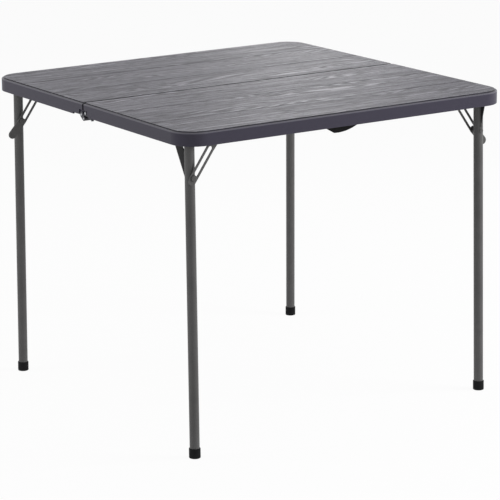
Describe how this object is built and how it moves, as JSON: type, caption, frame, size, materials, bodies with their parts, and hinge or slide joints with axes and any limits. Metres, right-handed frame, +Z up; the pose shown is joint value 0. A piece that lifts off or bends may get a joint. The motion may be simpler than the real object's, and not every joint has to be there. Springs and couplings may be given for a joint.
{
  "type": "folding card table",
  "caption": "Square folding card table with a plank-textured moulded top that folds in half, and tubular steel legs with gussets and slotted braces that fold flat under it.",
  "frame": {"origin": "on the floor under the middle of the table top, where the seam crosses the centre line", "axes": "+Z up, +X along the seam between the two halves of the top, +Y towards the back half"},
  "size_m": [0.8786, 0.864, 0.724],
  "materials": {
    "moulded_top": "charcoal grey moulded plastic with a fine wood-grain texture",
    "grey_painted_steel": "dark grey powder coat, semi-matte",
    "hinge_steel": "dark grey powder coat",
    "plated_steel": "zinc-plated steel",
    "black_rubber": "matte black rubber",
    "black_plastic": "matte black plastic",
    "black_webbing": "woven black webbing"
  },
  "bodies": {
    "front_half": {"front_top": "moulded_top", "front_seam_rail": "grey_painted_steel", "front_deck_screws": "plated_steel", "front_brace_rivets": "grey_painted_steel", "front_hinge_screws": "plated_steel", "front_hinge_rivets": "plated_steel", "left_front_hinge_leaf": "hinge_steel", "right_front_hinge_leaf": "hinge_steel", "front_left_bracket": "grey_painted_steel", "front_right_bracket": "grey_painted_steel", "catch_block": "black_plastic", "catch_pin": "plated_steel", "carry_strap": "black_webbing", "strap_screws": "plated_steel"},
    "hinge_pins": {"left_hinge_pin": "plated_steel", "right_hinge_pin": "plated_steel"},
    "back_half": {"back_top": "moulded_top", "back_seam_rail": "grey_painted_steel", "back_deck_screws": "plated_steel", "back_brace_rivets": "grey_painted_steel", "back_hinge_screws": "plated_steel", "back_hinge_rivets": "plated_steel", "left_back_hinge_leaf": "hinge_steel", "right_back_hinge_leaf": "hinge_steel", "back_left_bracket": "grey_painted_steel", "back_right_bracket": "grey_painted_steel"},
    "catch": {"catch_lever": "plated_steel"},
    "front_left_leg": {"front_left_leg_tube": "grey_painted_steel", "front_left_leg_cross_tube": "grey_painted_steel", "front_left_leg_gusset": "grey_painted_steel", "front_left_leg_foot_cap": "black_rubber", "front_left_leg_brace_pin": "grey_painted_steel"},
    "front_left_brace": {"front_left_brace_link": "grey_painted_steel", "front_left_brace_lock_pin": "grey_painted_steel"},
    "front_right_leg": {"front_right_leg_tube": "grey_painted_steel", "front_right_leg_cross_tube": "grey_painted_steel", "front_right_leg_gusset": "grey_painted_steel", "front_right_leg_foot_cap": "black_rubber", "front_right_leg_brace_pin": "grey_painted_steel"},
    "front_right_brace": {"front_right_brace_link": "grey_painted_steel", "front_right_brace_lock_pin": "grey_painted_steel"},
    "back_left_leg": {"back_left_leg_tube": "grey_painted_steel", "back_left_leg_cross_tube": "grey_painted_steel", "back_left_leg_gusset": "grey_painted_steel", "back_left_leg_foot_cap": "black_rubber", "back_left_leg_brace_pin": "grey_painted_steel"},
    "back_left_brace": {"back_left_brace_link": "grey_painted_steel", "back_left_brace_lock_pin": "grey_painted_steel"},
    "back_right_leg": {"back_right_leg_tube": "grey_painted_steel", "back_right_leg_cross_tube": "grey_painted_steel", "back_right_leg_gusset": "grey_painted_steel", "back_right_leg_foot_cap": "black_rubber", "back_right_leg_brace_pin": "grey_painted_steel"},
    "back_right_brace": {"back_right_brace_link": "grey_painted_steel", "back_right_brace_lock_pin": "grey_painted_steel"}
  },
  "joints": [
    {"name": "top_fold_start", "type": "hinge", "parent": "front_half", "child": "hinge_pins", "pos_m": [0, 0, 0.6875], "axis": [-1, 0, 0], "range_deg": [0, 45]},
    {"name": "top_fold_finish", "type": "hinge", "parent": "hinge_pins", "child": "back_half", "pos_m": [0, 0, 0.6875], "axis": [-1, 0, 0], "range_deg": [0, 135]},
    {"name": "front_left_leg_fold", "type": "hinge", "parent": "front_half", "child": "front_left_leg", "pos_m": [-0.402, -0.401, 0.704], "axis": [0, -1, 0], "range_deg": [0, 90.4]},
    {"name": "front_left_brace_fold", "type": "hinge", "parent": "front_half", "child": "front_left_brace", "pos_m": [-0.346, -0.401, 0.703], "axis": [0, -1, 0], "range_deg": [0, 127.6]},
    {"name": "front_right_leg_fold", "type": "hinge", "parent": "front_half", "child": "front_right_leg", "pos_m": [0.402, -0.365, 0.704], "axis": [0, 1, 0], "range_deg": [0, 90.4]},
    {"name": "front_right_brace_fold", "type": "hinge", "parent": "front_half", "child": "front_right_brace", "pos_m": [0.346, -0.365, 0.703], "axis": [0, 1, 0], "range_deg": [0, 127.6]},
    {"name": "back_left_leg_fold", "type": "hinge", "parent": "back_half", "child": "back_left_leg", "pos_m": [-0.402, 0.365, 0.704], "axis": [0, -1, 0], "range_deg": [0, 90.4]},
    {"name": "back_left_brace_fold", "type": "hinge", "parent": "back_half", "child": "back_left_brace", "pos_m": [-0.346, 0.365, 0.703], "axis": [0, -1, 0], "range_deg": [0, 127.6]},
    {"name": "back_right_leg_fold", "type": "hinge", "parent": "back_half", "child": "back_right_leg", "pos_m": [0.402, 0.401, 0.704], "axis": [0, 1, 0], "range_deg": [0, 90.4]},
    {"name": "back_right_brace_fold", "type": "hinge", "parent": "back_half", "child": "back_right_brace", "pos_m": [0.346, 0.401, 0.703], "axis": [0, 1, 0], "range_deg": [0, 127.6]},
    {"name": "catch_turn", "type": "hinge", "parent": "front_half", "child": "catch", "pos_m": [-0.4185, -0.011, 0.6926], "axis": [-1, 0, 0], "range_deg": [-10, 30]}
  ],
  "couplings": [
    {"joint": "front_left_leg_fold", "follows": "top_fold_finish", "ratio": 0.6696},
    {"joint": "front_left_brace_fold", "follows": "top_fold_finish", "ratio": 0.9448},
    {"joint": "front_right_leg_fold", "follows": "top_fold_finish", "ratio": 0.6696},
    {"joint": "front_right_brace_fold", "follows": "top_fold_finish", "ratio": 0.9448},
    {"joint": "back_left_leg_fold", "follows": "top_fold_finish", "ratio": 0.6696},
    {"joint": "back_left_brace_fold", "follows": "top_fold_finish", "ratio": 0.9448},
    {"joint": "back_right_leg_fold", "follows": "top_fold_finish", "ratio": 0.6696},
    {"joint": "back_right_brace_fold", "follows": "top_fold_finish", "ratio": 0.9448}
  ]
}
